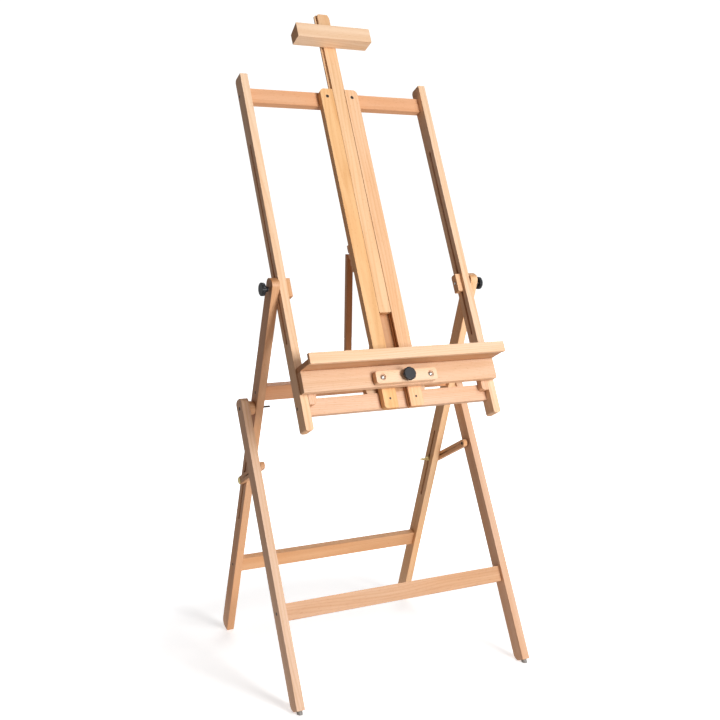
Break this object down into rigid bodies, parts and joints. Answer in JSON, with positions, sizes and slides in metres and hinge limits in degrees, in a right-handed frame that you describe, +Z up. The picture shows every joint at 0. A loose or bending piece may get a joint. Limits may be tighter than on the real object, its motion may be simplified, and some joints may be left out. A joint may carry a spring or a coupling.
{
  "type": "artist easel",
  "caption": "Folding wooden artist's easel with a tilting painting frame, canvas slider, brush tray, struts with wing nuts and clamp knobs.",
  "frame": {"origin": "on the floor, midway between the left and right legs and between the front and rear ends of the base", "axes": "+Z up, +X to the painter's right, the painter stands on the -Y side"},
  "size_m": [0.653, 0.5925, 1.6767],
  "materials": {
    "beech": "oiled satin beech",
    "beech_dark": "oiled satin beech, darker strip",
    "brass_hardware": "brass-plated, satin",
    "zinc_steel": "zinc-plated steel",
    "dark_screw": "bronze-toned flat-head screws",
    "black_plastic": "moulded, satin",
    "grey_glide": "matte"
  },
  "bodies": {
    "rear_frame": {"rear_leg_left": "beech", "rear_leg_right": "beech", "rear_rail_upper": "beech", "rear_rail_lower": "beech", "rear_frame_screws": "dark_screw", "prop_hinge_brackets": "zinc_steel"},
    "front_frame": {"front_leg_left": "beech", "front_leg_right": "beech", "front_rail": "beech", "front_frame_screws": "dark_screw", "leg_pivot_spacers": "beech", "leg_pivot_bolts": "dark_screw", "strut_pivot_screws": "dark_screw", "front_foot_glides": "grey_glide"},
    "strut_left": {"strut_left": "beech", "strut_bolt_left": "brass_hardware"},
    "strut_right": {"strut_right": "beech", "strut_bolt_right": "brass_hardware"},
    "wing_nut_left": {"wing_nut_left": "brass_hardware"},
    "wing_nut_right": {"wing_nut_right": "brass_hardware"},
    "prop": {"prop_bar_left": "beech", "prop_bar_right": "beech", "prop_rail": "beech", "prop_hinge_pins": "zinc_steel"},
    "clamp_bolts": {"clamp_bolt_left": "zinc_steel", "clamp_bolt_right": "zinc_steel"},
    "clamp_blocks": {"clamp_block_left": "beech", "clamp_block_right": "beech"},
    "clamp_knob_left": {"clamp_knob_left": "black_plastic"},
    "clamp_knob_right": {"clamp_knob_right": "black_plastic"},
    "painting_frame": {"upright_left": "beech", "upright_right": "beech", "painting_rail_top": "beech", "painting_rail_bottom": "beech", "upright_screws": "dark_screw", "mast_stile_left": "beech", "mast_stile_right": "beech", "mast_groove_floor": "beech_dark", "mast_screws": "dark_screw", "rest_block_left": "beech", "rest_block_right": "beech"},
    "slider": {"slider_bar": "beech", "canvas_block_top": "beech"},
    "tray": {"tray_shelf": "beech", "tray_lip": "beech", "tray_panel": "beech", "tray_guide_left": "beech", "tray_guide_right": "beech", "tray_clamp_bar_front": "beech", "tray_clamp_bar_rear": "beech", "tray_clamp_bolts": "zinc_steel", "tray_clamp_nuts": "zinc_steel"},
    "tray_knob": {"tray_knob": "black_plastic", "tray_knob_stud": "zinc_steel"}
  },
  "joints": [
    {"name": "legs_fold", "type": "hinge", "parent": "rear_frame", "child": "front_frame", "pos_m": [0, 0.04487, 0.66148], "axis": [1, 0, 0], "range_deg": [-12, 42]},
    {"name": "strut_left_swing", "type": "hinge", "parent": "front_frame", "child": "strut_left", "pos_m": [-0.3, -0.02135, 0.52689], "axis": [1, 0, 0], "range_deg": [-82, 24]},
    {"name": "strut_right_swing", "type": "hinge", "parent": "front_frame", "child": "strut_right", "pos_m": [0.3, -0.02135, 0.52689], "axis": [1, 0, 0], "range_deg": [-82, 24]},
    {"name": "wing_nut_left_turn", "type": "hinge", "parent": "strut_left", "child": "wing_nut_left", "pos_m": [-0.263, 0.11841, 0.45944], "axis": [1, 0, 0], "continuous": true},
    {"name": "wing_nut_right_turn", "type": "hinge", "parent": "strut_right", "child": "wing_nut_right", "pos_m": [0.263, 0.11841, 0.45944], "axis": [1, 0, 0], "continuous": true},
    {"name": "frame_lay_back", "type": "hinge", "parent": "rear_frame", "child": "clamp_bolts", "pos_m": [0, -0.0656, 0.965], "axis": [1, 0, 0], "range_deg": [-65, 0]},
    {"name": "frame_tilt_up", "type": "hinge", "parent": "clamp_bolts", "child": "clamp_blocks", "pos_m": [0, -0.0656, 0.965], "axis": [1, 0, 0], "range_deg": [0, 25]},
    {"name": "prop_swing", "type": "hinge", "parent": "rear_frame", "child": "prop", "pos_m": [0, 0.02195, 0.73614], "axis": [1, 0, 0], "range_deg": [-65, 0]},
    {"name": "clamp_knob_left_turn", "type": "hinge", "parent": "clamp_bolts", "child": "clamp_knob_left", "pos_m": [-0.3, -0.0656, 0.965], "axis": [1, 0, 0], "continuous": true},
    {"name": "clamp_knob_right_turn", "type": "hinge", "parent": "clamp_bolts", "child": "clamp_knob_right", "pos_m": [0.3, -0.0656, 0.965], "axis": [1, 0, 0], "continuous": true},
    {"name": "frame_height", "type": "slide", "parent": "clamp_blocks", "child": "painting_frame", "axis": [0, -0.4179, -0.9085], "range_m": [-0.135, 0.375]},
    {"name": "slider_height", "type": "slide", "parent": "painting_frame", "child": "slider", "axis": [0, 0.4179, 0.9085], "range_m": [-0.2, 0.45]},
    {"name": "tray_height", "type": "slide", "parent": "painting_frame", "child": "tray", "axis": [0, 0.4179, 0.9085], "range_m": [0, 0.205]},
    {"name": "tray_knob_turn", "type": "hinge", "parent": "tray", "child": "tray_knob", "pos_m": [0, -0.23513, 0.76394], "axis": [0, -0.9085, 0.4179], "continuous": true}
  ],
  "couplings": [
    {"joint": "strut_left_swing", "follows": "legs_fold", "ratio": -1.945},
    {"joint": "strut_right_swing", "follows": "legs_fold", "ratio": -1.945},
    {"joint": "prop_swing", "follows": "frame_lay_back", "ratio": 1}
  ]
}
